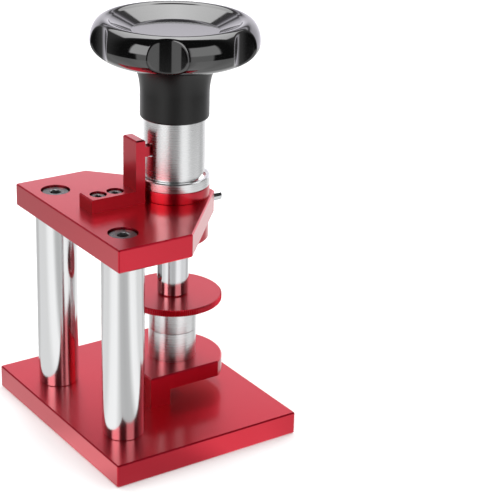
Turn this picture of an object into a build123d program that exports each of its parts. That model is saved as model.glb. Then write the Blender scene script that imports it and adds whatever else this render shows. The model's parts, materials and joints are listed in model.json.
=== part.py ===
from build123d import *
import os
from math import cos, radians, sin, sqrt, tau

# Hand-operated screw press with a two-post frame. Millimetres. The Z axis is the axis of the ram,
# Z = 0 is the underside of the base, the posts stand at the back (+Y) and the front is -Y.
# Threads are plain cylinders at their nominal diameter.

# ---- Driving dimensions ----
BASE_WIDTH = 120.0
BASE_DEPTH = 100.0
BASE_THICKNESS = 11.5
BASE_FRONT_Y = -34.0

POST_DIAMETER = 20.0
POST_SPACING = 64.5
POST_Y = 47.0
POST_LENGTH = 90.1

PLATE_WIDTH = 99.8
PLATE_THICKNESS = 11.3
PLATE_BACK_Y = 59.4
PLATE_SHOULDER_Y = 20.8
PLATE_NOSE_Y = -19.3
PLATE_NOSE_WIDTH = 12.6

SLEEVE_R = 14.84
HOUSING_R = 15.9
RING_R = 17.28
RAM_R = 7.8
DIE_HOLDER_R = 11.88
DISC_R = 24.25

WHEEL_R = 39.9
WHEEL_TOP_Z = 199.2
WHEEL_LOBES = 6

RAM_TRAVEL = 20.0
CAM_LEAD = 24.0

EDGE_BREAK = 0.6
RUNNING_GAP = 0.06

# ---- Heights of the frame and of the parts on the ram's axis ----
PLATE_Z = BASE_THICKNESS + POST_LENGTH
PLATE_TOP_Z = PLATE_Z + PLATE_THICKNESS

ANVIL_TOP_Z = 27.6
LOWER_HOLDER_TOP_Z = ANVIL_TOP_Z + 15.04
UPPER_HOLDER_Z = LOWER_HOLDER_TOP_Z + 0.1
DISC_Z = 57.9
DISC_TOP_Z = DISC_Z + 3.4

HOUSING_Z = PLATE_Z - 11.0
HOUSING_WEB_TOP_Z = HOUSING_Z + 6.0
RING_NUT_TOP_Z = PLATE_TOP_Z + 5.7
LOCK_RING_TOP_Z = RING_NUT_TOP_Z + 4.7
HOUSING_TOP_Z = LOCK_RING_TOP_Z - 1.4

SLEEVE_Z = HOUSING_WEB_TOP_Z + 0.6
HUB_Z = 152.0
SLEEVE_TOP_Z = HUB_Z + 4.0
INSERT_TOP_Z = SLEEVE_TOP_Z + 20.0

RAM_HEAD_Z = 124.0
RAM_HEAD_TOP_Z = RAM_HEAD_Z + 6.0
SLEEVE_SHOULDER_Z = RAM_HEAD_TOP_Z + 7.1

# ---- Anvil block ----
ANVIL_HALF_WIDTH = 20.6
ANVIL_BACK_Y = 24.6
ANVIL_NOSE_R = 25.0
ANVIL_LIP_THICKNESS = 8.0
ANVIL_LEG_Y = 13.7
ANVIL_SCREW_X = 12.0
ANVIL_SCREW_Y = 19.1

# ---- Stop bracket and its tongue, which rides in the groove of the sleeve ----
BRACKET_X = 1.0
BRACKET_WIDTH = 12.0
BRACKET_ARM_Y = 19.0
BRACKET_ARM_THICKNESS = 5.0
BRACKET_FOOT_BACK_Y = 47.7
BRACKET_FOOT_THICKNESS = 6.7
BRACKET_TOP_Z = 144.4
BRACKET_SCREW_Y = (41.0, 31.9)
TONGUE_WIDTH = 4.8
TONGUE_HEIGHT = 4.8
TONGUE_TIP_Y = 12.5
TONGUE_Z = 137.4

# ---- Cam groove: a right-handed helix, one ram travel long, with room at both ends ----
GROOVE_HEIGHT = 6.6
GROOVE_FLOOR_R = TONGUE_TIP_Y - 0.3
TONGUE_ANGLE = 90.0
CAM_TURN = 360.0 * RAM_TRAVEL / CAM_LEAD
GROOVE_END_ROOM = 15.0

# ---- Keyway of the ram ----
KEYWAY_WIDTH = 4.0
KEYWAY_DEPTH = 2.0
KEYWAY_Z = (68.3, 98.0)
KEY_SCREW_Z = HOUSING_Z + 3.0

# ---- Screws: (shank radius, head radius, head height, socket across flats, socket depth) ----
M8_LOW = (4.0, 6.5, 5.0, 5.0, 2.7)
M6_CAP = (3.0, 5.0, 6.0, 5.0, 3.0)
M5_CAP = (2.5, 4.25, 5.0, 4.0, 2.5)
M4_CAP = (2.0, 3.5, 4.0, 3.0, 2.0)
HEAD_RECESS = 0.9
HEAD_ROOM = 0.6
SHANK_ROOM = 0.25

DIE_THREAD_R = 2.5
DIE_THREAD_DEPTH = 8.0
COUNTERSINK = 1.0
STUD_R = 4.0
DRIVE_STUD_R = 5.0

# ---- Thrust bearing between the ram's head and the sleeve ----
RACE_THICKNESS = 1.95
RACE_R = (4.0, 9.5)
BALL_R = 1.58
BALL_COUNT = 10
BALL_PITCH_R = 6.8
CAGE_THICKNESS = 1.0


def rod(radius, bottom, top, x=0.0, y=0.0):
    """Upright solid cylinder between two heights."""
    return Pos(x, y, (bottom + top) / 2) * Cylinder(radius, top - bottom)


def ring(inner_r, outer_r, bottom, top):
    """Upright plain ring around the ram's axis."""
    return rod(outer_r, bottom, top) - rod(inner_r, bottom, top)


def block(x_range, y_range, z_range):
    """Solid box between pairs of limits."""
    low = (x_range[0], y_range[0], z_range[0])
    high = (x_range[1], y_range[1], z_range[1])
    size = [b - a for a, b in zip(low, high)]
    centre = [(a + b) / 2 for a, b in zip(low, high)]
    return Pos(*centre) * Box(*size)


def end_edges(part, end):
    """Edges that lie wholly in the part's lowest (0) or highest (-1) flat face."""
    return part.faces().filter_by(Axis.Z).sort_by(Axis.Z)[end].edges()


def rim_edges(part, radius):
    """All circular edges of one radius."""
    circles = part.edges().filter_by(GeomType.CIRCLE)
    return circles.filter_by(lambda edge: abs(edge.radius - radius) < 0.01)


def hexagon(across, bottom, top):
    """Upright hexagonal prism."""
    return Pos(0, 0, bottom) * extrude(RegularPolygon(across / 2, 6, major_radius=False), top - bottom)


def socket_screw(size, length):
    """Socket head cap screw: the head stands on Z = 0 and the shank hangs below it."""
    shank_r, head_r, head_height, socket_across, socket_depth = size
    head = rod(head_r, 0, head_height)
    head = chamfer(end_edges(head, -1), EDGE_BREAK)
    shank = rod(shank_r, -length, 0)
    shank = chamfer(end_edges(shank, 0), 2 * EDGE_BREAK)
    return head + shank - hexagon(socket_across, head_height - socket_depth, head_height)


def screw_hole(size, length):
    """Room for a socket screw: a counterbore above Z = 0 and a clearance hole below it."""
    shank_r, head_r, head_height = size[:3]
    return rod(head_r + HEAD_ROOM, 0, head_height + 5.0) + rod(shank_r + SHANK_ROOM, -length, 0)


def upwards(x, y, z):
    """Place of something that is turned upside down, its Z = 0 at height z."""
    return Pos(x, y, z) * Rot(180, 0, 0)


def both_posts(make):
    """The same thing at the left and right post."""
    return [make(side * POST_SPACING / 2) for side in (-1, 1)]


# ---- Frame ----
def base_seat_z(size):
    """Height of the head's seat of a screw that is sunk in the base's underside."""
    return size[2] + HEAD_RECESS


def base_plate():
    y_range = (BASE_FRONT_Y, BASE_FRONT_Y + BASE_DEPTH)
    plate = block((-BASE_WIDTH / 2, BASE_WIDTH / 2), y_range, (0, BASE_THICKNESS))
    plate = fillet(plate.edges().filter_by(Axis.Z), 1.0)
    plate = chamfer(end_edges(plate, -1) + end_edges(plate, 0), EDGE_BREAK)
    for x in (-POST_SPACING / 2, POST_SPACING / 2):
        plate -= upwards(x, POST_Y, base_seat_z(M8_LOW)) * screw_hole(M8_LOW, BASE_THICKNESS)
    for x in (-ANVIL_SCREW_X, ANVIL_SCREW_X):
        plate -= upwards(x, ANVIL_SCREW_Y, base_seat_z(M6_CAP)) * screw_hole(M6_CAP, BASE_THICKNESS)
    return plate


POST_SCREW_LENGTH = 20.0


def post(x):
    bar = rod(POST_DIAMETER / 2, BASE_THICKNESS, PLATE_Z, x, POST_Y)
    bar = chamfer(end_edges(bar, -1) + end_edges(bar, 0), 0.3)
    thread_depth = POST_SCREW_LENGTH - 2.0
    bar -= rod(M8_LOW[0], BASE_THICKNESS, BASE_THICKNESS + thread_depth, x, POST_Y)
    return bar - rod(M8_LOW[0], PLATE_Z - thread_depth, PLATE_Z, x, POST_Y)


def post_base_screws():
    place = base_seat_z(M8_LOW)
    return both_posts(lambda x: upwards(x, POST_Y, place) * socket_screw(M8_LOW, POST_SCREW_LENGTH))


def plate_seat_z():
    """Height of the head's seat of the two screws sunk in the top plate."""
    return PLATE_TOP_Z - M8_LOW[2] - HEAD_RECESS


def post_top_screws():
    place = plate_seat_z()
    return both_posts(lambda x: Pos(x, POST_Y, place) * socket_screw(M8_LOW, POST_SCREW_LENGTH))


def top_plate():
    half = PLATE_WIDTH / 2
    nose = PLATE_NOSE_WIDTH / 2
    right_side = [(half, PLATE_BACK_Y), (half, PLATE_SHOULDER_Y), (nose, PLATE_NOSE_Y)]
    left_side = [(-x, y) for x, y in reversed(right_side)]
    outline = Polyline(*right_side, *left_side, close=True)
    plate = extrude(Pos(0, 0, PLATE_Z) * make_face(outline), PLATE_THICKNESS)
    plate = fillet(plate.edges().filter_by(Axis.Z), 0.8)
    plate = chamfer(end_edges(plate, -1) + end_edges(plate, 0), EDGE_BREAK)
    plate -= rod(HOUSING_R + 0.05, PLATE_Z - 1, PLATE_TOP_Z + 1)
    for x in (-POST_SPACING / 2, POST_SPACING / 2):
        plate -= Pos(x, POST_Y, plate_seat_z()) * screw_hole(M8_LOW, PLATE_THICKNESS)
    for y in BRACKET_SCREW_Y:
        plate -= rod(M4_CAP[0], PLATE_TOP_Z - 8.0, PLATE_TOP_Z + 1, BRACKET_X, y)
    return plate - front_screw_body(M5_CAP[0], PLATE_NOSE_Y - 5, -HOUSING_R + 1)


def front_screw_body(radius, front_y, back_y):
    """Cylinder along Y at half the top plate's thickness."""
    centre_z = PLATE_Z + PLATE_THICKNESS / 2
    return Pos(0, (front_y + back_y) / 2, centre_z) * Rot(90, 0, 0) * Cylinder(radius, back_y - front_y)


def housing_lock_screw():
    """Headless socket screw in the nose of the top plate, which holds the housing."""
    front_y = PLATE_NOSE_Y - 7.4
    back_y = -HOUSING_R - 0.1
    screw = front_screw_body(M5_CAP[0], front_y, back_y)
    screw = chamfer(rim_edges(screw, M5_CAP[0]), EDGE_BREAK)
    socket = Rot(90, 0, 0) * hexagon(2.5, 0, 2.5)
    return screw - Pos(0, front_y + 2.5, PLATE_Z + PLATE_THICKNESS / 2) * socket


# ---- Anvil ----
def anvil_block():
    half = ANVIL_HALF_WIDTH
    shoulder_y = -sqrt(ANVIL_NOSE_R**2 - half**2)
    sides = Polyline((-half, shoulder_y), (-half, ANVIL_BACK_Y), (half, ANVIL_BACK_Y), (half, shoulder_y))
    nose = ThreePointArc((half, shoulder_y), (0, -ANVIL_NOSE_R), (-half, shoulder_y))
    lip_z = ANVIL_TOP_Z - ANVIL_LIP_THICKNESS
    lip = extrude(Pos(0, 0, lip_z) * make_face(Curve() + [sides, nose]), ANVIL_LIP_THICKNESS)
    leg = block((-half, half), (ANVIL_LEG_Y, ANVIL_BACK_Y), (BASE_THICKNESS, lip_z))
    body = chamfer(end_edges(lip + leg, -1), EDGE_BREAK)
    body -= upwards(0, 0, holder_seat_z()) * screw_hole(M4_CAP, ANVIL_LIP_THICKNESS)
    for x in (-ANVIL_SCREW_X, ANVIL_SCREW_X):
        body -= rod(M6_CAP[0], BASE_THICKNESS, BASE_THICKNESS + 11.0, x, ANVIL_SCREW_Y)
    return body


def block_screws():
    place = base_seat_z(M6_CAP)
    return [upwards(x, ANVIL_SCREW_Y, place) * socket_screw(M6_CAP, 14.0) for x in (-ANVIL_SCREW_X, ANVIL_SCREW_X)]


def holder_seat_z():
    """Height of the head's seat of the screw sunk in the lip's underside."""
    return ANVIL_TOP_Z - ANVIL_LIP_THICKNESS + M4_CAP[2] + 0.2


def lower_holder_screw():
    return upwards(0, 0, holder_seat_z()) * socket_screw(M4_CAP, 8.0)


def holder_blank(bottom, top):
    blank = rod(DIE_HOLDER_R, bottom, top)
    return chamfer(end_edges(blank, -1) + end_edges(blank, 0), EDGE_BREAK)


def die_thread():
    """Cutter for a die's tapped hole: its countersunk mouth is at Z = 0 and the hole runs up."""
    mouth = Cone(DIE_THREAD_R + COUNTERSINK, DIE_THREAD_R, COUNTERSINK)
    return Pos(0, 0, COUNTERSINK / 2) * mouth + rod(DIE_THREAD_R, 0, COUNTERSINK + DIE_THREAD_DEPTH)


def lower_die_holder():
    holder = holder_blank(ANVIL_TOP_Z, LOWER_HOLDER_TOP_Z)
    holder -= rod(M4_CAP[0], ANVIL_TOP_Z - 1, ANVIL_TOP_Z + 4.8)
    return holder - upwards(0, 0, LOWER_HOLDER_TOP_Z) * die_thread()


# ---- Stop bracket ----
def stop_bracket():
    arm_back_y = BRACKET_ARM_Y + BRACKET_ARM_THICKNESS
    foot_top_z = PLATE_TOP_Z + BRACKET_FOOT_THICKNESS
    x_range = (BRACKET_X - BRACKET_WIDTH / 2, BRACKET_X + BRACKET_WIDTH / 2)
    arm = block(x_range, (BRACKET_ARM_Y, arm_back_y), (PLATE_TOP_Z, BRACKET_TOP_Z))
    foot = block(x_range, (arm_back_y, BRACKET_FOOT_BACK_Y), (PLATE_TOP_Z, foot_top_z))
    angle = arm + foot
    outer_edges = end_edges(arm, -1) + end_edges(foot, -1).sort_by(Axis.Y)[-1:]
    angle = chamfer([edge for edge in angle.edges() if is_one_of(edge, outer_edges)], EDGE_BREAK)
    tongue_x = (-TONGUE_WIDTH / 2, TONGUE_WIDTH / 2)
    tongue_z = (TONGUE_Z - TONGUE_HEIGHT / 2, TONGUE_Z + TONGUE_HEIGHT / 2)
    angle += block(tongue_x, (TONGUE_TIP_Y, BRACKET_ARM_Y), tongue_z)
    for y in BRACKET_SCREW_Y:
        angle -= Pos(BRACKET_X, y, bracket_seat_z()) * screw_hole(M4_CAP, BRACKET_FOOT_THICKNESS)
    return angle


def is_one_of(edge, others):
    """Whether an edge has the same middle point as one of the others."""
    return any((edge.center() - other.center()).length < 0.01 for other in others)


def bracket_seat_z():
    return PLATE_TOP_Z + BRACKET_FOOT_THICKNESS - M4_CAP[2] - 0.8


def bracket_screws():
    return [Pos(BRACKET_X, y, bracket_seat_z()) * socket_screw(M4_CAP, 8.5) for y in BRACKET_SCREW_Y]


# ---- Spindle housing ----
def spindle_housing():
    flange = rod(RING_R - 0.28, HOUSING_Z, PLATE_Z)
    flange = chamfer(end_edges(flange, 0), 1.0)
    body = flange + rod(HOUSING_R, PLATE_Z, HOUSING_TOP_Z)
    body -= rod(SLEEVE_R + RUNNING_GAP, HOUSING_WEB_TOP_Z, HOUSING_TOP_Z + 1)
    body -= rod(RAM_R + RUNNING_GAP, HOUSING_Z - 1, HOUSING_WEB_TOP_Z + 1)
    return body - key_screw_body(M5_CAP[0], RAM_R - 1, RING_R + 1)


def housing_ring_nut():
    nut = ring(HOUSING_R, RING_R, PLATE_TOP_Z, RING_NUT_TOP_Z)
    return chamfer(rim_edges(nut, RING_R), EDGE_BREAK)


def lock_ring():
    """Bright ring that locks the nut and covers the housing's upper end with a lip."""
    cap = rod(RING_R, RING_NUT_TOP_Z, LOCK_RING_TOP_Z)
    cap = fillet(end_edges(cap, -1), 0.8)
    cap -= rod(HOUSING_R, RING_NUT_TOP_Z - 1, HOUSING_TOP_Z + 0.1)
    return cap - rod(SLEEVE_R + 2 * RUNNING_GAP, HOUSING_TOP_Z, LOCK_RING_TOP_Z + 1)


def key_screw_body(radius, inner_y, outer_y):
    """Cylinder along Y in the housing's flange, at the back."""
    return Pos(0, (inner_y + outer_y) / 2, KEY_SCREW_Z) * Rot(90, 0, 0) * Cylinder(radius, outer_y - inner_y)


def key_screw():
    """Dog-point screw whose point slides in the ram's keyway."""
    point_y = RAM_R - KEYWAY_DEPTH + 0.3
    thread_y = RAM_R + 0.5
    outer_y = RING_R - 0.6
    screw = key_screw_body(M5_CAP[0], thread_y, outer_y)
    screw += key_screw_body(KEYWAY_WIDTH / 2 - 0.08, point_y, thread_y)
    socket = Rot(90, 0, 0) * hexagon(2.5, -0.5, 2.5)
    return screw - Pos(0, outer_y, KEY_SCREW_Z) * socket


# ---- Ram ----
def ram():
    shaft = rod(RAM_R, DISC_TOP_Z, RAM_HEAD_Z)
    shaft = chamfer(end_edges(shaft, 0), EDGE_BREAK)
    shaft += rod(SLEEVE_R - 4.64, RAM_HEAD_Z, RAM_HEAD_TOP_Z)
    shaft += rod(RACE_R[0] - 0.05, RAM_HEAD_TOP_Z, SLEEVE_SHOULDER_Z - 0.5)
    shaft -= rod(STUD_R + 0.05, DISC_TOP_Z - 1, DISC_TOP_Z + 20.7)
    return shaft - keyway()


def keyway():
    """Groove up the back of the ram with a round lower end."""
    half = KEYWAY_WIDTH / 2
    floor_y = RAM_R - KEYWAY_DEPTH
    round_z = KEYWAY_Z[0] + half
    slot = block((-half, half), (floor_y, RAM_R + 1), (round_z, KEYWAY_Z[1]))
    length = RAM_R + 1 - floor_y
    return slot + Pos(0, floor_y + length / 2, round_z) * Rot(90, 0, 0) * Cylinder(half, length)


def bearing_lower_race():
    return ring(RACE_R[0], RACE_R[1], RAM_HEAD_TOP_Z, RAM_HEAD_TOP_Z + RACE_THICKNESS)


def bearing_upper_race():
    return ring(RACE_R[0] + 0.05, RACE_R[1], SLEEVE_SHOULDER_Z - RACE_THICKNESS, SLEEVE_SHOULDER_Z)


def ball_places():
    z = (RAM_HEAD_TOP_Z + SLEEVE_SHOULDER_Z) / 2
    angles = [tau * i / BALL_COUNT for i in range(BALL_COUNT)]
    return [Pos(BALL_PITCH_R * cos(a), BALL_PITCH_R * sin(a), z) for a in angles]


def bearing_balls():
    return [place * Sphere(BALL_R) for place in ball_places()]


def bearing_cage():
    middle_z = (RAM_HEAD_TOP_Z + SLEEVE_SHOULDER_Z) / 2
    cage = ring(4.4, 9.2, middle_z - CAGE_THICKNESS / 2, middle_z + CAGE_THICKNESS / 2)
    for place in ball_places():
        cage -= place * Cylinder(BALL_R + 0.07, 3 * CAGE_THICKNESS)
    return cage


# ---- Height adjuster on the ram's lower end ----
STUD_SEAT_DEPTH = 5.5


def knurled_disc():
    disc = ring(STUD_R, DISC_R, DISC_Z, DISC_TOP_Z)
    return chamfer(rim_edges(disc, DISC_R), EDGE_BREAK)


def upper_die_holder():
    holder = holder_blank(UPPER_HOLDER_Z, DISC_Z)
    holder -= rod(STUD_R, DISC_Z - STUD_SEAT_DEPTH, DISC_Z + 1)
    return holder - Pos(0, 0, UPPER_HOLDER_Z) * die_thread()


def adjuster_stud():
    stud = rod(STUD_R, DISC_Z - STUD_SEAT_DEPTH, DISC_TOP_Z + 19.0)
    return chamfer(end_edges(stud, -1), 2 * EDGE_BREAK)


# ---- Wheel and cam sleeve ----
def cam_groove():
    """Cutter for the groove: an upright rectangle swept along the helix that the tongue follows."""
    start = TONGUE_ANGLE - CAM_TURN - GROOVE_END_ROOM
    turn = CAM_TURN + 2 * GROOVE_END_ROOM
    height = CAM_LEAD * turn / 360
    start_z = TONGUE_Z - CAM_LEAD * (CAM_TURN + GROOVE_END_ROOM) / 360
    middle_r = (GROOVE_FLOOR_R + SLEEVE_R + 1.5) / 2
    width = SLEEVE_R + 1.5 - GROOVE_FLOOR_R
    path = Helix(pitch=CAM_LEAD, height=height, radius=middle_r)
    section = Plane(origin=path @ 0, x_dir=(1, 0, 0), z_dir=(0, -1, 0)) * Rectangle(width, GROOVE_HEIGHT)
    cutter = sweep(section, path=path, is_frenet=True)
    return Pos(0, 0, start_z) * Rot(0, 0, start) * cutter


def cam_sleeve():
    sleeve = rod(SLEEVE_R, SLEEVE_Z, SLEEVE_TOP_Z)
    sleeve = chamfer(end_edges(sleeve, 0), EDGE_BREAK)
    sleeve -= rod(SLEEVE_R - 4.34, SLEEVE_Z - 1, SLEEVE_SHOULDER_Z)
    sleeve -= rod(DRIVE_STUD_R, HUB_Z - 6.0, SLEEVE_TOP_Z + 1)
    return sleeve - cam_groove()


def ram_retainer():
    """Ring screwed into the sleeve under the ram's head, so that the wheel also lifts the ram."""
    return ring(RAM_R + 0.1, SLEEVE_R - 4.34, RAM_HEAD_Z - 6.0, RAM_HEAD_Z - 0.1)


def drive_stud():
    stud = rod(DRIVE_STUD_R, HUB_Z - 5.9, INSERT_TOP_Z - 0.5)
    return chamfer(end_edges(stud, -1) + end_edges(stud, 0), 2 * EDGE_BREAK)


def wheel_insert():
    return hexagon(17.0, SLEEVE_TOP_Z, INSERT_TOP_Z) - rod(DRIVE_STUD_R, SLEEVE_TOP_Z - 1, INSERT_TOP_Z + 1)


# The rim: an oval underside, a taller outer quarter oval, a crest rolled inwards, a low step and the dish.
RIM_EQUATOR_Z = WHEEL_TOP_Z - 10.1
FOOT_ROUND = 1.2
UNDERSIDE_WIDTH = 12.05
UNDERSIDE_DEPTH = 9.0
UNDERSIDE_START = 245.0
CREST_R = 33.2
STEP_TOP = (31.2, WHEEL_TOP_Z - 0.58)
STEP_FOOT = (30.45, WHEEL_TOP_Z - 1.17)
DISH_R = 20.5
DISH_Z = WHEEL_TOP_Z - 5.7
SCALLOP_R = 15.7
SCALLOP_DEPTH = 4.05
SCALLOP_ANGLE = 143.2


def oval(centre_r, half_width, half_height, start, end):
    """Arc of an oval around the rim's equator height."""
    plane = Plane(origin=(centre_r, RIM_EQUATOR_Z, 0))
    return Edge.make_ellipse(half_width, half_height, plane, start_angle=start, end_angle=end)


def wheel_section():
    """Half section of the handwheel: straight hub, flare, oval rim and dished top."""
    hub_r = 16.5
    flare_z = HUB_Z + 13.0
    bore_r = SLEEVE_R + RUNNING_GAP
    foot = Polyline((0, SLEEVE_TOP_Z), (bore_r, SLEEVE_TOP_Z), (bore_r, HUB_Z), (hub_r - FOOT_ROUND, HUB_Z))
    foot_round = RadiusArc((hub_r - FOOT_ROUND, HUB_Z), (hub_r, HUB_Z + FOOT_ROUND), -FOOT_ROUND)
    side = Line((hub_r, HUB_Z + FOOT_ROUND), (hub_r, flare_z))
    underside = oval(WHEEL_R - UNDERSIDE_WIDTH, UNDERSIDE_WIDTH, UNDERSIDE_DEPTH, UNDERSIDE_START, 360)
    flare_end = underside @ 0
    end_direction = underside % 0
    flare = Spline(
        (hub_r, flare_z),
        (hub_r + 0.66, flare_z + 7.0),
        (flare_end.X, flare_end.Y),
        tangents=[(0.02, 1), (end_direction.X, end_direction.Y)],
    )
    outside = oval(CREST_R, WHEEL_R - CREST_R, WHEEL_TOP_Z - RIM_EQUATOR_Z, 0, 90)
    crest = TangentArc((CREST_R, WHEEL_TOP_Z), STEP_TOP, tangent=(-1, 0))
    dish = Polyline(STEP_TOP, STEP_FOOT, (DISH_R, DISH_Z), (0, DISH_Z), (0, SLEEVE_TOP_Z))
    return make_face(Curve() + [foot, foot_round, side, flare, underside, outside, crest, dish])


def handwheel():
    wheel = revolve(Plane.XZ * wheel_section(), Axis.Z)
    scallop_centre = WHEEL_R - SCALLOP_DEPTH + SCALLOP_R
    for lobe in range(WHEEL_LOBES):
        turn = Rot(0, 0, SCALLOP_ANGLE + 360 * lobe / WHEEL_LOBES)
        wheel -= turn * rod(SCALLOP_R, RIM_EQUATOR_Z - 15, RIM_EQUATOR_Z + 15, scallop_centre)
    return wheel - hexagon(17.0, SLEEVE_TOP_Z - 1, INSERT_TOP_Z)


NODES = {
    "base_plate": base_plate,
    "post_left": lambda: post(-POST_SPACING / 2),
    "post_right": lambda: post(POST_SPACING / 2),
    "post_base_screws": post_base_screws,
    "post_top_screws": post_top_screws,
    "top_plate": top_plate,
    "anvil_block": anvil_block,
    "block_screws": block_screws,
    "lower_die_holder": lower_die_holder,
    "lower_holder_screw": lower_holder_screw,
    "stop_bracket": stop_bracket,
    "bracket_screws": bracket_screws,
    "spindle_housing": spindle_housing,
    "housing_ring_nut": housing_ring_nut,
    "lock_ring": lock_ring,
    "housing_lock_screw": housing_lock_screw,
    "key_screw": key_screw,
    "ram": ram,
    "bearing_lower_race": bearing_lower_race,
    "bearing_upper_race": bearing_upper_race,
    "bearing_balls": bearing_balls,
    "bearing_cage": bearing_cage,
    "knurled_disc": knurled_disc,
    "upper_die_holder": upper_die_holder,
    "adjuster_stud": adjuster_stud,
    "cam_sleeve": cam_sleeve,
    "ram_retainer": ram_retainer,
    "drive_stud": drive_stud,
    "wheel_insert": wheel_insert,
    "handwheel": handwheel,
}

os.makedirs("parts", exist_ok=True)
for name, make in NODES.items():
    made = make()
    solids = [solid for part in made for solid in part.solids()] if isinstance(made, list) else made.solids()
    shape = solids[0] if len(solids) == 1 else Compound(children=solids)
    export_step(shape, f"parts/{name}.step")
    print(name, len(solids), round(sum(solid.volume for solid in solids), 1))
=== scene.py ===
import json
from math import cos, pi, radians, sin, sqrt, tau

import bmesh
import bpy
from mathutils import Matrix, Vector


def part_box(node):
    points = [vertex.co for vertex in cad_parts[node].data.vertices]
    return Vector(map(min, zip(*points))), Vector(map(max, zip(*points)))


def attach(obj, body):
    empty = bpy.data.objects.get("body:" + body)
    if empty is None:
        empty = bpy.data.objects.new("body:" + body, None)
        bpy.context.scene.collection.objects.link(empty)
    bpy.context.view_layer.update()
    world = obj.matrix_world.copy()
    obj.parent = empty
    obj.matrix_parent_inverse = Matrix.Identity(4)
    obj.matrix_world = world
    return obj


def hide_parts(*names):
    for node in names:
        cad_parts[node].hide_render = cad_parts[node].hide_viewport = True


# Hand-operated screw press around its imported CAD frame. Metres, Z is the ram's axis, +Y is the back.

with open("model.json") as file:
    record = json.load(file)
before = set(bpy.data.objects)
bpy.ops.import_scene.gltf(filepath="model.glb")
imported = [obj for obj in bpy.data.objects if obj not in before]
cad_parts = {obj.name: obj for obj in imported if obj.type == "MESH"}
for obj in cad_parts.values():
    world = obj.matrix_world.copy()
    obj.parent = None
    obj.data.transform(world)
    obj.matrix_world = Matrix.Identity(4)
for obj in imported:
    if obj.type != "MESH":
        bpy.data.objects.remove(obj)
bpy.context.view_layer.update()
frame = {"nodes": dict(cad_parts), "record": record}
MM = 0.001


# ---------------------------------------------------------------- shader nodes
class Tree:
    """Short calls that add nodes to one shader tree."""

    def __init__(self, owner):
        owner.use_nodes = True
        self.tree = owner.node_tree
        self.tree.nodes.clear()

    def add(self, kind, inputs=None, **settings):
        node = self.tree.nodes.new(kind)
        for key, value in settings.items():
            setattr(node, key, value)
        for key, value in (inputs or {}).items():
            self.put(node.inputs[key], value)
        return node

    def put(self, socket, value):
        if isinstance(value, bpy.types.NodeSocket):
            self.tree.links.new(value, socket)
        else:
            socket.default_value = value

    def math(self, operation, a, b=0.0):
        return self.add("ShaderNodeMath", {0: a, 1: b}, operation=operation).outputs[0]

    def between(self, value, low, high, to_low=0.0, to_high=1.0):
        """value's place between low and high, carried over smoothly to to_low and to_high."""
        sockets = {"Value": value, 1: low, 2: high, 3: to_low, 4: to_high}
        return self.add("ShaderNodeMapRange", sockets, interpolation_type="SMOOTHSTEP").outputs[0]

    def inside(self, value, low, high, soft):
        """1 between low and high, with soft edges."""
        rise = self.between(value, low - soft / 2, low + soft / 2)
        fall = self.between(value, high - soft / 2, high + soft / 2, 1.0, 0.0)
        return self.math("MULTIPLY", rise, fall)

    def blend(self, share, a, b):
        """a where share is 0 and b where it is 1."""
        return self.add("ShaderNodeMix", {0: share, 2: a, 3: b}, data_type="FLOAT").outputs[0]

    def ramp(self, angle, stops, span):
        """Grey at an angle in radians, from (degrees, grey) stops between 0 and span degrees."""
        node = self.add("ShaderNodeValToRGB", {0: self.math("DIVIDE", angle, radians(span))})
        elements = node.color_ramp.elements
        while len(elements) < len(stops):
            elements.new(0.5)
        for element, (degrees, grey) in zip(elements, stops):
            element.position = degrees / span
            element.color = (grey, grey, grey, 1)
        return node.outputs["Color"]

    def blend_colour(self, share, a, b):
        node = self.add("ShaderNodeMix", {0: share}, data_type="RGBA")
        self.put(node.inputs[6], a)
        self.put(node.inputs[7], b)
        return node.outputs[2]


# ---------------------------------------------------------------- studio
CAMERA_PLACE = Vector((-0.60779, 0.38075, 0.37977))
CAMERA_YAW = radians(-35.069)
CAMERA_PITCH = radians(22.267)
CAMERA_ROLL = radians(1.764)
CAMERA_SIDE = radians(148.0)
FOCAL_LENGTH = 113.99
SENSOR_WIDTH = 36.0

# The studio's light by direction. Angles are in degrees: a swing is measured round the object, away from
# the camera's side, and a height is measured up from the horizon. The stops pair an angle with a brightness:
# of the table over its swing, and of the back over its height.
TABLE_STOPS = (
    (0, 0.46), (14, 0.50), (30, 0.93), (50, 0.90), (66, 0.70), (100, 0.70),
    (112, 0.50), (125, 0.50), (142, 0.80),
)
TABLE_LIGHT = 1.4
TABLE_RADIUS = 0.62
TABLE_EDGE_HEIGHT = (-19, -15)
BACK_STOPS = (
    (0, 1.05), (15, 1.05), (18, 0.8), (20, 0.68), (21.5, 0.15), (24, 0.25),
    (26, 1.3), (28, 0.4), (31, 0.15),
)
BACK_LIGHT = 1.45
BACK_TINT = (1.0, 0.97, 1.05, 1)
BACK_SWING = (114, 134)
BACK_FULL_WIDTH_HEIGHT = 15
SIDE_WALL_LIGHT = 0.25
GAP_LIGHT = 0.04
GAP_SWING = (75, 110)
LOW_BOX_LIGHT = 1.05
LOW_BOX_SWING = (20, 52)
LEFT_BOX_LIGHT = 3.3
RIGHT_BOX_LIGHT = 1.9
SIDE_BOX_SWING = (20, 62)
SIDE_BOX_HEIGHT = (2, 36)
BOX_EDGE = 4
# The box above is laid out on a level plane at unit height: along runs towards the camera.
TOP_BOX_LIGHT = 6.5
TOP_BOX_ALONG = (-1.2, -0.12)
TOP_BOX_ACROSS = (0.9, 1.1)
TOP_BOX_RISE_ALONG = 0.47
TOP_BOX_FALL_ACROSS = 0.5
# Even light on matte surfaces, mostly the floor.
FLOOR_LIGHT = 1.14
FLOOR_RADIUS = 3.0


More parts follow.
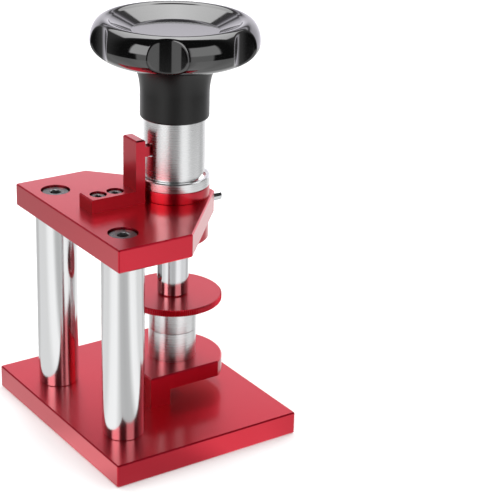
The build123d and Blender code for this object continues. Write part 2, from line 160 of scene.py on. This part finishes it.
def make_camera():
    forward = Vector(
        (cos(CAMERA_YAW) * cos(CAMERA_PITCH), sin(CAMERA_YAW) * cos(CAMERA_PITCH), -sin(CAMERA_PITCH))
    )
    level = forward.cross(Vector((0, 0, 1))).normalized()
    above = level.cross(forward)
    right = level * cos(CAMERA_ROLL) + above * sin(CAMERA_ROLL)
    up = above * cos(CAMERA_ROLL) - level * sin(CAMERA_ROLL)
    data = bpy.data.cameras.new("camera")
    data.lens = FOCAL_LENGTH
    data.sensor_width = SENSOR_WIDTH
    data.clip_start = 0.01
    data.clip_end = 50.0
    camera = bpy.data.objects.new("camera", data)
    turn = Matrix((right, up, -forward)).transposed().to_4x4()
    camera.matrix_world = Matrix.Translation(CAMERA_PLACE) @ turn
    bpy.context.scene.collection.objects.link(camera)
    bpy.context.scene.camera = camera


def axes_to_camera(t, direction):
    """Parts of a direction towards the camera's side, to the camera's right and up."""
    turned_direction = t.add(
        "ShaderNodeVectorRotate",
        {"Vector": direction, "Axis": (0, 0, 1), "Angle": -CAMERA_SIDE},
        rotation_type="AXIS_ANGLE",
    )
    return t.add("ShaderNodeSeparateXYZ", {0: turned_direction.outputs[0]}).outputs


def degrees_between(t, angle, limits, to_low=0.0, to_high=1.0):
    """Tree.between for an angle in radians and its (low, high) limits in degrees."""
    return t.between(angle, radians(limits[0]), radians(limits[1]), to_low, to_high)


def degrees_inside(t, angle, limits):
    """Tree.inside for an angle in radians and its (low, high) limits in degrees."""
    return t.inside(angle, radians(limits[0]), radians(limits[1]), radians(BOX_EDGE))


def make_studio():
    """Light by direction for glossy surfaces. Matte surfaces and the camera see an even white."""
    world = bpy.data.worlds.new("studio")
    bpy.context.scene.world = world
    t = Tree(world)
    ray = t.add("ShaderNodeTexCoord").outputs["Generated"]
    to_camera, to_right, up = axes_to_camera(t, ray)
    height = t.math("ARCSINE", up)
    swing = t.math("ABSOLUTE", t.math("ARCTAN2", to_right, to_camera))

    # Walls: a dark gap round the camera, dim sides and a low light at the back that narrows upwards.
    light = degrees_between(t, swing, GAP_SWING, GAP_LIGHT, SIDE_WALL_LIGHT)
    behind = t.math("MULTIPLY", t.ramp(height, BACK_STOPS, 90), BACK_LIGHT)
    rise = t.math("MAXIMUM", t.math("SUBTRACT", height, radians(BACK_FULL_WIDTH_HEIGHT)), 0.0)
    inward = t.math("MULTIPLY", rise, 2.0)
    back_share = degrees_between(t, t.math("SUBTRACT", swing, inward), BACK_SWING)
    light = t.blend(back_share, light, behind)

    # A box on each side of the camera, dimmer below the horizon.
    below = t.between(height, 0.0, radians(BOX_EDGE), 1.0, 0.0)
    low_box = t.math("MULTIPLY", degrees_inside(t, swing, LOW_BOX_SWING), below)
    light = t.blend(low_box, light, LOW_BOX_LIGHT)
    side_box = degrees_inside(t, swing, SIDE_BOX_SWING)
    side_box = t.math("MULTIPLY", side_box, degrees_inside(t, height, SIDE_BOX_HEIGHT))
    side_light = t.between(to_right, -0.05, 0.05, LEFT_BOX_LIGHT, RIGHT_BOX_LIGHT)
    light = t.blend(side_box, light, side_light)

    # One box above, brightest near the camera and in the middle.
    divisor = t.math("MAXIMUM", up, 0.01)
    along = t.math("DIVIDE", to_camera, divisor)
    across = t.math("ABSOLUTE", t.math("DIVIDE", to_right, divisor))
    narrow = t.between(across, *TOP_BOX_ACROSS, 1.0, 0.0)
    top_box = t.math("MULTIPLY", t.inside(along, *TOP_BOX_ALONG, 0.1), narrow)
    gain = t.math("MULTIPLY", along, TOP_BOX_RISE_ALONG)
    gain = t.math("SUBTRACT", gain, t.math("MULTIPLY", across, TOP_BOX_FALL_ACROSS))
    top_light = t.math("MULTIPLY", t.math("EXPONENT", gain), TOP_BOX_LIGHT)
    light = t.blend(top_box, light, top_light)

    # Beyond the table's edge.
    table_light = t.math("MULTIPLY", t.ramp(swing, TABLE_STOPS, 180), TABLE_LIGHT)
    light = t.blend(degrees_between(t, height, TABLE_EDGE_HEIGHT), table_light, light)

    tint = t.blend_colour(back_share, (1, 1, 1, 1), BACK_TINT)
    lit = t.add("ShaderNodeBackground", {"Color": tint, "Strength": light})
    path = t.add("ShaderNodeLightPath").outputs
    plain_light = t.blend(path["Is Camera Ray"], FLOOR_LIGHT, 1.0)
    white = t.add("ShaderNodeBackground", {"Color": (1, 1, 1, 1), "Strength": plain_light})
    even = t.math("MAXIMUM", path["Is Camera Ray"], path["Is Diffuse Ray"])
    mix = t.add("ShaderNodeMixShader", {0: even, 1: lit.outputs[0], 2: white.outputs[0]})
    t.add("ShaderNodeOutputWorld", {"Surface": mix.outputs[0]})


def make_round_sheet(name, radius, height, corners):
    """Flat round sheet, facing up."""
    mesh = bpy.data.meshes.new(name)
    angles = [tau * i / corners for i in range(corners)]
    points = [(radius * cos(a), radius * sin(a), height) for a in angles]
    mesh.from_pydata(points, [], [tuple(range(corners))])
    sheet = bpy.data.objects.new(name, mesh)
    bpy.context.scene.collection.objects.link(sheet)
    return sheet


def make_floor():
    """Pale matte floor. Reflections see the glowing table instead."""
    floor_object = make_round_sheet("floor", FLOOR_RADIUS, 0, 128)
    paint = bpy.data.materials.new("floor")
    t = Tree(paint)
    place = t.add("ShaderNodeTexCoord").outputs["Object"]
    cloud = t.add("ShaderNodeTexNoise", {"Vector": place, "Scale": 3.0, "Detail": 2.0}).outputs[0]
    colour = t.blend_colour(cloud, (0.86, 0.86, 0.86, 1), (0.88, 0.88, 0.88, 1))
    shader = t.add("ShaderNodeBsdfDiffuse", {"Color": colour})
    t.add("ShaderNodeOutputMaterial", {"Surface": shader.outputs[0]})
    floor_object.data.materials.append(paint)
    floor_object.visible_glossy = False


def make_table_glow():
    """What bright metal sees of the table: lit unevenly, and no wider than the table is."""
    glow = make_round_sheet("table_glow", TABLE_RADIUS, -MM, 96)
    material = bpy.data.materials.new("table_glow")
    t = Tree(material)
    place = t.add("ShaderNodeTexCoord").outputs["Object"]
    to_camera, to_right = axes_to_camera(t, place)[:2]
    swing = t.math("ABSOLUTE", t.math("ARCTAN2", to_right, to_camera))
    share = t.ramp(swing, TABLE_STOPS, 180)
    shader = t.add("ShaderNodeEmission", {"Strength": t.math("MULTIPLY", share, TABLE_LIGHT)})
    t.add("ShaderNodeOutputMaterial", {"Surface": shader.outputs[0]})
    glow.data.materials.append(material)
    glow.visible_camera = False
    glow.visible_diffuse = False
    glow.visible_shadow = False


# ---------------------------------------------------------------- materials
# Below this height the handwheel's moulding is satin, and above it it's polished.
SATIN_TOP_Z = 0.181
SATIN_FADE = 0.002


def surface(name, **sockets):
    """A Principled material. The caller links what varies over the surface."""
    material = bpy.data.materials.new(name)
    t = Tree(material)
    shader = t.add("ShaderNodeBsdfPrincipled")
    for key, value in sockets.items():
        shader.inputs[key.replace("_", " ")].default_value = value
    t.add("ShaderNodeOutputMaterial", {"Surface": shader.outputs[0]})
    return material, t, shader


def anodised(name, base, shade):
    """Satin-blasted and dyed aluminium: a coloured metal under a clear, slightly rough oxide."""
    material, t, shader = surface(
        name, Metallic=1.0, Coat_Weight=0.72, Coat_Roughness=0.16, Coat_IOR=1.45
    )
    place = t.add("ShaderNodeTexCoord").outputs["Object"]
    cloud = t.add("ShaderNodeTexNoise", {"Vector": place, "Scale": 45.0, "Detail": 4.0}).outputs[0]
    grain = t.add("ShaderNodeTexNoise", {"Vector": place, "Scale": 5200.0, "Detail": 2.0}).outputs[0]
    t.put(shader.inputs["Base Color"], t.blend_colour(cloud, base, shade))
    t.put(shader.inputs["Roughness"], t.between(grain, 0.3, 0.7, 0.29, 0.35))
    bump = t.add("ShaderNodeBump", {"Strength": 0.25, "Distance": 0.00002, "Height": grain})
    t.put(shader.inputs["Normal"], bump.outputs[0])
    return material


def turned(name, colour, roughness, spread, marks, centre=(0.0, 0.0)):
    """Metal from the lathe: fine rings round an upright axis, which spread the light along the axis."""
    material, t, shader = surface(
        name, Metallic=1.0, Anisotropic=spread, Anisotropic_Rotation=0.25
    )
    x, y, z = t.add(
        "ShaderNodeSeparateXYZ", {0: t.add("ShaderNodeTexCoord").outputs["Object"]}
    ).outputs
    x = t.math("SUBTRACT", x, centre[0])
    y = t.math("SUBTRACT", y, centre[1])
    radius = t.math("SQRT", t.math("ADD", t.math("MULTIPLY", x, x), t.math("MULTIPLY", y, y)))
    rings = t.add("ShaderNodeCombineXYZ", {0: radius, 1: z}).outputs[0]
    coarse = t.add("ShaderNodeTexNoise", {"Vector": rings, "Scale": 900.0, "Detail": 3.0}).outputs[0]
    fine = t.add("ShaderNodeTexNoise", {"Vector": rings, "Scale": 9000.0, "Detail": 2.0}).outputs[0]
    low = tuple(0.99 * c for c in colour[:3]) + (1,)
    t.put(shader.inputs["Base Color"], t.blend_colour(coarse, low, colour))
    t.put(shader.inputs["Roughness"], t.between(fine, 0.3, 0.7, roughness * 0.95, roughness * 1.05))
    bump = t.add("ShaderNodeBump", {"Strength": marks, "Distance": 0.00002, "Height": fine})
    t.put(shader.inputs["Normal"], bump.outputs[0])
    tangent = t.add("ShaderNodeTangent", direction_type="RADIAL", axis="Z")
    t.put(shader.inputs["Tangent"], tangent.outputs[0])
    return material


def moulded(name, base, shade):
    """Black phenolic with the faint waviness of a moulding: polished rim, satin hub."""
    material, t, shader = surface(name, IOR=1.5)
    place = t.add("ShaderNodeTexCoord").outputs["Object"]
    cloud = t.add("ShaderNodeTexNoise", {"Vector": place, "Scale": 60.0, "Detail": 3.0}).outputs[0]
    specks = t.add("ShaderNodeTexNoise", {"Vector": place, "Scale": 1500.0, "Detail": 3.0}).outputs[0]
    t.put(shader.inputs["Base Color"], t.blend_colour(cloud, base, shade))
    height = t.add("ShaderNodeSeparateXYZ", {0: place}).outputs[2]
    fade = (SATIN_TOP_Z - SATIN_FADE, SATIN_TOP_Z + SATIN_FADE)
    satin = t.between(height, *fade, 0.3, 0.0)
    t.put(shader.inputs["Specular IOR Level"], t.between(height, *fade, 0.4, 1.0))
    polish = t.between(specks, 0.35, 0.7, 0.055, 0.085)
    t.put(shader.inputs["Roughness"], t.math("ADD", polish, satin))
    bump = t.add("ShaderNodeBump", {"Strength": 0.08, "Distance": 0.0001, "Height": cloud})
    t.put(shader.inputs["Normal"], bump.outputs[0])
    return material


def oxidised(name, base, shade):
    """Oiled black oxide on steel."""
    material, t, shader = surface(name, Metallic=0.85)
    place = t.add("ShaderNodeTexCoord").outputs["Object"]
    cloud = t.add("ShaderNodeTexNoise", {"Vector": place, "Scale": 400.0, "Detail": 4.0}).outputs[0]
    grain = t.add("ShaderNodeTexNoise", {"Vector": place, "Scale": 6000.0, "Detail": 2.0}).outputs[0]
    t.put(shader.inputs["Base Color"], t.blend_colour(cloud, base, shade))
    t.put(shader.inputs["Roughness"], t.between(cloud, 0.3, 0.7, 0.26, 0.4))
    bump = t.add("ShaderNodeBump", {"Strength": 0.3, "Distance": 0.00003, "Height": grain})
    t.put(shader.inputs["Normal"], bump.outputs[0])
    return material


# Axes of the posts, in mm. The chrome's turning marks run round them.
POST_X = 32.25
POST_Y = 47.0

RED = anodised("anodised_red", (0.55, 0.004, 0.024, 1), (0.52, 0.003, 0.021, 1))
CHROME = {
    f"post_{side}": turned(
        f"polished_chrome_{side}", (0.68, 0.685, 0.69, 1), 0.14, 0.0, 0.06, (x * MM, POST_Y * MM)
    )
    for side, x in (("left", -POST_X), ("right", POST_X))
}
ALUMINIUM = turned("turned_aluminium", (0.68, 0.685, 0.69, 1), 0.27, 0.5, 0.04)
SMOOTH = turned("smooth_aluminium", (0.68, 0.685, 0.69, 1), 0.27, 0.3, 0.1)
RAM_STEEL = turned("bright_steel", (0.65, 0.655, 0.67, 1), 0.1, 0.3, 0.15)
BLACK = moulded("black_phenolic", (0.0004, 0.0004, 0.0005, 1), (0.0007, 0.0007, 0.0007, 1))
OXIDE = oxidised("black_oxide", (0.15, 0.15, 0.152, 1), (0.1, 0.1, 0.102, 1))
BEARING = turned("bearing_steel", (0.75, 0.76, 0.78, 1), 0.14, 0.0, 0.1)
BRASS = turned("brass", (0.78, 0.55, 0.22, 1), 0.2, 0.3, 0.2)

SLOT_MATERIALS = {
    "anodised_red": RED,
    "turned_aluminium": ALUMINIUM,
    "bright_steel": RAM_STEEL,
    "black_phenolic": BLACK,
    "black_oxide": OXIDE,
    "bearing_steel": BEARING,
    "brass": BRASS,
}

# ---------------------------------------------------------------- lathe work
# Sections are in mm: (radius, height above the piece's own zero). Points nearer the axis than AXIS_R
# are on it.
AXIS_R = 0.001
SHARP_ANGLE = radians(32)


def rounded(corners, steps=6):
    """Path through (radius, height, easing) corners. Easing is how far from a corner its curve begins."""
    path = []
    for place, (radius, height, easing) in enumerate(corners):
        corner = Vector((radius, height))
        if easing == 0:
            path.append(corner)
            continue
        before = Vector(corners[place - 1][:2])
        after = Vector(corners[(place + 1) % len(corners)][:2])
        start = corner.lerp(before, easing / (corner - before).length)
        end = corner.lerp(after, easing / (corner - after).length)
        for step in range(steps + 1):
            share = step / steps
            path.append(start.lerp(corner, share).lerp(corner.lerp(end, share), share))
    return path


def plain(radius, angle):
    """The radius as it is: a piece that is round all over."""
    return radius


def spin(name, path, columns, place=(0.0, 0.0, 0.0), reach=plain, turn=None):
    """Closed mesh swept round the Z axis, then turned and placed. reach(radius, angle) gives a radius."""
    points = []
    rings = []
    for radius, height in path:
        if radius < AXIS_R:
            rings.append([len(points)] * columns)
            points.append((0.0, 0.0, height * MM))
            continue
        rings.append(range(len(points), len(points) + columns))
        for column in range(columns):
            angle = tau * column / columns
            out = reach(radius, angle) * MM
            points.append((out * cos(angle), out * sin(angle), height * MM))
    if path[0][0] > AXIS_R:
        rings.append(rings[0])
    faces = []
    for low, high in zip(rings, rings[1:]):
        for column in range(columns):
            after = (column + 1) % columns
            corners = (low[column], low[after], high[after], high[column])
            faces.append(tuple(dict.fromkeys(corners)))
    mesh = bpy.data.meshes.new(name)
    mesh.from_pydata(points, [], faces)
    if turn is not None:
        mesh.transform(turn)
    mesh.transform(Matrix.Translation(place))
    work = bmesh.new()
    work.from_mesh(mesh)
    bmesh.ops.recalc_face_normals(work, faces=work.faces)
    work.to_mesh(mesh)
    work.free()
    mesh.shade_smooth()
    mesh.set_sharp_from_angle(angle=SHARP_ANGLE)
    piece = bpy.data.objects.new(name, mesh)
    bpy.context.scene.collection.objects.link(piece)
    return piece


def hexagon(angle):
    """Distance to a hexagon's edge over its inner radius. A corner lies at angle 0."""
    return 1 / cos(angle % (pi / 3) - pi / 6)


def hand_over(piece, body, slot, material, *nodes):
    """Puts a finished piece on its body in place of its CAD nodes."""
    piece.data.materials.append(material)
    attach(piece, body)
    if nodes:
        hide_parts(*nodes)


# ---------------------------------------------------------------- handwheel
LOBES = 6
RIM_R = 39.9
SCALLOP_R = 15.7
SCALLOP_DEPTH = 4.05
SCALLOP_CENTRE = RIM_R - SCALLOP_DEPTH + SCALLOP_R
SCALLOP_ANGLE = radians(143.2)
SCALLOP_EDGE = 0.9
SCALLOP_INNER_R = 30
EQUATOR_DROP = 10.1
UNDERSIDE_WIDTH = 12.05
UNDERSIDE_DEPTH = 9.0
POCKET_R = 8.5
POCKET_TOP = 24.0
RECESS_R = 14.9
RECESS_DEPTH = 4
HUB_R = 16.5
HUB_STRAIGHT = 13
FOOT_ROUND = 1.2
FLARE_BOW = Vector((17.0, 24.2))
FLARE_STEPS = 24
CREST_R = 33.2
ROLL_R = 3.74
DISH_FLOOR_R = 20.5
DISH_DEPTH = 5.7


def lobed(radius, angle):
    """Radius with the round-edged finger scallops taken out. Near the axis it's the hexagonal pocket."""
    if radius <= POCKET_R:
        return radius * hexagon(angle)
    away = (angle - SCALLOP_ANGLE + pi / LOBES) % (tau / LOBES) - pi / LOBES
    across = SCALLOP_CENTRE * sin(away)
    if radius < SCALLOP_INNER_R or abs(across) >= SCALLOP_R:
        return radius
    hollow = SCALLOP_CENTRE * cos(away) - sqrt(SCALLOP_R**2 - across**2)
    share = min(1.0, max(0.0, 0.5 + 0.5 * (hollow - radius) / SCALLOP_EDGE))
    return hollow + (radius - hollow) * share - SCALLOP_EDGE * share * (1 - share)


def oval_arc(centre, equator, half_width, half_height, start, end, parts):
    """Points on an oval from start up to, but not including, end. Both angles are in degrees."""
    arc = []
    for step in range(parts):
        angle = radians(start + (end - start) * step / parts)
        arc.append(Vector((centre + half_width * cos(angle), equator + half_height * sin(angle))))
    return arc


def make_handwheel():
    """Wheel from the hub's pocket over the flare and underside, and back over the rim to the dish."""
    low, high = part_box("handwheel")
    foot = low[2] / MM
    top = high[2] / MM - foot
    equator = top - EQUATOR_DROP
    hub = rounded(
        [(0, POCKET_TOP, 0), (POCKET_R, POCKET_TOP, 0), (POCKET_R, RECESS_DEPTH, 0)]
        + [(RECESS_R, RECESS_DEPTH, 0), (RECESS_R, 0, 0.15)]
        + [(HUB_R, 0, FOOT_ROUND), (HUB_R, HUB_STRAIGHT, 0)]
    )
    underside_r = RIM_R - UNDERSIDE_WIDTH
    belly = oval_arc(underside_r, equator, UNDERSIDE_WIDTH, UNDERSIDE_DEPTH, 245, 360, 60)
    flare_start, flare_end = hub[-1], belly[0]
    flare = []
    for step in range(1, FLARE_STEPS):
        share = step / FLARE_STEPS
        outward = flare_start.lerp(FLARE_BOW, share)
        flare.append(outward.lerp(FLARE_BOW.lerp(flare_end, share), share))
    shoulder = oval_arc(CREST_R, equator, RIM_R - CREST_R, EQUATOR_DROP, 0, 90, 70)
    roll = oval_arc(CREST_R, top - ROLL_R, ROLL_R, ROLL_R, 90, 118, 10)
    dish = rounded(
        [(31.45, top - 0.43, 0), (31.2, top - 0.58, 0.2), (30.45, top - 1.17, 0.3)]
        + [(DISH_FLOOR_R, top - DISH_DEPTH, 0.35), (0, top - DISH_DEPTH, 0)]
    )
    # The dish's first corner is where the roll stops, and only aims the curve after it.
    path = hub + flare + belly + shoulder + roll + dish[1:]
    wheel = spin("handwheel_visual", path, 960, (0, 0, low[2]), lobed)
    hand_over(wheel, "wheel", "black_phenolic", BLACK, "handwheel")


# ---------------------------------------------------------------- knurled disc
TEETH = 160
TOOTH_DEPTH = 0.6
TOOTH_COLUMNS = 8
KNURL_INNER_R = 24
DISC_BORE_R = 4.0
DISC_EDGE_ACROSS = 0.75
DISC_EDGE_UP = 0.42


def toothed(radius, angle):
    """Straight knurl: V teeth cut into everything outside KNURL_INNER_R."""
    if radius < KNURL_INNER_R:
        return radius
    wave = abs(2 * (angle * TEETH / tau % 1.0) - 1)
    return radius - TOOTH_DEPTH * wave


def make_knurled_disc():
    low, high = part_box("knurled_disc")
    thickness = (high[2] - low[2]) / MM
    radius = (high[0] - low[0]) / 2 / MM
    flat_r = radius - DISC_EDGE_ACROSS
    section = [(DISC_BORE_R, 0), (flat_r, 0), (radius, DISC_EDGE_UP), (radius, thickness - DISC_EDGE_UP)]
    section += [(flat_r, thickness), (DISC_BORE_R, thickness)]
    disc = spin("knurled_disc_visual", section, TOOTH_COLUMNS * TEETH, (0, 0, low[2]), toothed)
    hand_over(disc, "adjuster", "anodised_red", RED, "knurled_disc")


# ---------------------------------------------------------------- rings
LOCK_RING_BORE_R = 15.95
LOCK_RING_LIP_R = 15.3
LOCK_RING_LIP = 1.2
LOCK_RING_CHAMFER = 0.5
RING_NUT_BORE_R = 15.9


def make_lock_ring():
    """Bright ring with a lip that reaches in over the housing and a chamfer round its upper outer edge."""
    low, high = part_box("lock_ring")
    height = (high[2] - low[2]) / MM
    radius = (high[0] - low[0]) / 2 / MM
    under_lip = height - LOCK_RING_LIP
    ring = rounded(
        [(LOCK_RING_BORE_R, 0, 0), (radius, 0, 0.25), (radius, height - LOCK_RING_CHAMFER, 0.05)]
        + [(radius - LOCK_RING_CHAMFER, height, 0.05), (LOCK_RING_LIP_R, height, 0.25)]
        + [(LOCK_RING_LIP_R, under_lip, 0), (LOCK_RING_BORE_R, under_lip, 0)]
    )
    piece = spin("lock_ring_visual", ring, 192, (0, 0, low[2]))
    hand_over(piece, "frame", "turned_aluminium", SMOOTH, "lock_ring")


def make_ring_nut():
    """Red ring with eased outer edges."""
    low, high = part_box("housing_ring_nut")
    height = (high[2] - low[2]) / MM
    radius = (high[0] - low[0]) / 2 / MM
    ring = rounded(
        [(RING_NUT_BORE_R, 0, 0), (radius, 0, 0.3), (radius, height, 0.45), (RING_NUT_BORE_R, height, 0)]
    )
    piece = spin("ring_nut_visual", ring, 192, (0, 0, low[2]))
    hand_over(piece, "frame", "anodised_red", RED, "housing_ring_nut")


def make_die_holder(node, body, up):
    """Turned cylinder with eased edges. The countersunk hole is in the top if up, and else in the foot."""
    low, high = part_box(node)
    height = (high[2] - low[2]) / MM
    radius = (high[0] - low[0]) / 2 / MM
    hole_r, mouth_r, countersink, depth, easing = 2.5, 3.1, 0.6, 8.0, 0.18
    if up:
        hole_floor, hole_top, open_end, plain_end = height - depth, height - countersink, height, 0
    else:
        hole_floor, hole_top, open_end, plain_end = depth, countersink, 0, height
    section = rounded(
        [(0, hole_floor, 0), (hole_r, hole_floor, 0), (hole_r, hole_top, 0), (mouth_r, open_end, 0)]
        + [(radius, open_end, easing), (radius, plain_end, easing), (0, plain_end, 0)]
    )
    piece = spin(f"{node}_visual", section, 192, (0, 0, low[2]))
    hand_over(piece, body, "turned_aluminium", ALUMINIUM, node)


# ---------------------------------------------------------------- screws
SCREW_COLUMNS = 96
SOCKET_CHAMFER_DEPTH = 0.25
SOCKET_CHAMFER_WIDTH = 0.5
TIP_CHAMFER = 0.6


def screw_path(shank, head, head_height, length, socket, socket_depth):
    """Section of a socket screw whose head's seat is at height 0, from the socket's floor to the tip."""
    socket_floor = head_height - socket_depth
    return rounded(
        [(0, socket_floor, 0), (socket, socket_floor, 0.1), (socket, head_height - SOCKET_CHAMFER_DEPTH, 0)]
        + [(socket + SOCKET_CHAMFER_WIDTH, head_height, 0.1), (head, head_height, 0.45), (head, 0, 0.2)]
        + [(shank, 0, 0), (shank, -length + TIP_CHAMFER, 0.1), (shank - TIP_CHAMFER, -length, 0.1)]
        + [(0, -length, 0)],
        4,
    )


def socketed(socket):
    """Reach of a screw whose socket is a hexagon up to the radius called socket."""

    def reach(radius, angle):
        return radius * hexagon(angle) if radius <= socket else radius

    return reach


def make_screws():
    low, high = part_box("post_top_screws")
    head = (high[1] - low[1]) / 2 / MM
    shank, head_height, socket, socket_depth = 4.0, 5.0, 2.5, 2.7
    seat = high[2] - head_height * MM
    path = screw_path(shank, head, head_height, (seat - low[2]) / MM, socket, socket_depth)
    for side in ("left", "right"):
        post_low, post_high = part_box(f"post_{side}")
        place = ((post_low[0] + post_high[0]) / 2, (post_low[1] + post_high[1]) / 2, seat)
        screw = spin(f"post_top_screw_{side}", path, SCREW_COLUMNS, place, socketed(socket))
        hand_over(screw, "frame", "black_oxide", OXIDE, "post_top_screws")

    low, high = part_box("bracket_screws")
    head = (high[0] - low[0]) / 2 / MM
    shank, head_height, socket, socket_depth = 2.0, 4.0, 1.5, 2.0
    seat = high[2] - head_height * MM
    path = screw_path(shank, head, head_height, (seat - low[2]) / MM, socket, socket_depth)
    for name, y in (("front", low[1] + head * MM), ("back", high[1] - head * MM)):
        place = ((low[0] + high[0]) / 2, y, seat)
        screw = spin(f"bracket_screw_{name}", path, SCREW_COLUMNS, place, socketed(socket))
        hand_over(screw, "frame", "black_oxide", OXIDE, "bracket_screws")


def make_lock_screw():
    """Headless screw along Y. Its zero is at the outer end and it runs back into the plate's nose."""
    low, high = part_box("housing_lock_screw")
    radius = (high[2] - low[2]) / 2 / MM
    length = (high[1] - low[1]) / MM
    socket, socket_depth, mouth, mouth_depth = 1.25, 2.5, 1.5, 0.2
    path = rounded(
        [(0, -socket_depth, 0), (socket, -socket_depth, 0.1), (socket, -mouth_depth, 0), (mouth, 0, 0.1)]
        + [(radius, 0, 0.75), (radius, -length, 0.3), (0, -length, 0)]
    )
    middle = ((low[0] + high[0]) / 2, low[1], (low[2] + high[2]) / 2)
    upright_to_y = Matrix.Rotation(radians(90), 4, "X")
    screw = spin("lock_screw_visual", path, SCREW_COLUMNS, middle, socketed(socket), upright_to_y)
    hand_over(screw, "frame", "bright_steel", RAM_STEEL, "housing_lock_screw")


NODE_SLOT = {part["node"]: part["material_slot"] for part in frame["record"]["subparts"]}


make_camera()
make_studio()
make_floor()
make_table_glow()
bpy.context.scene.view_settings.view_transform = "Standard"

for node, slot_name in NODE_SLOT.items():
    finish = CHROME[node] if node in CHROME else SLOT_MATERIALS[slot_name]
    for slot in frame["nodes"][node].material_slots:
        slot.material = finish

make_handwheel()
make_knurled_disc()
make_lock_ring()
make_ring_nut()
make_die_holder("lower_die_holder", "frame", True)
make_die_holder("upper_die_holder", "adjuster", False)
make_screws()
make_lock_screw()
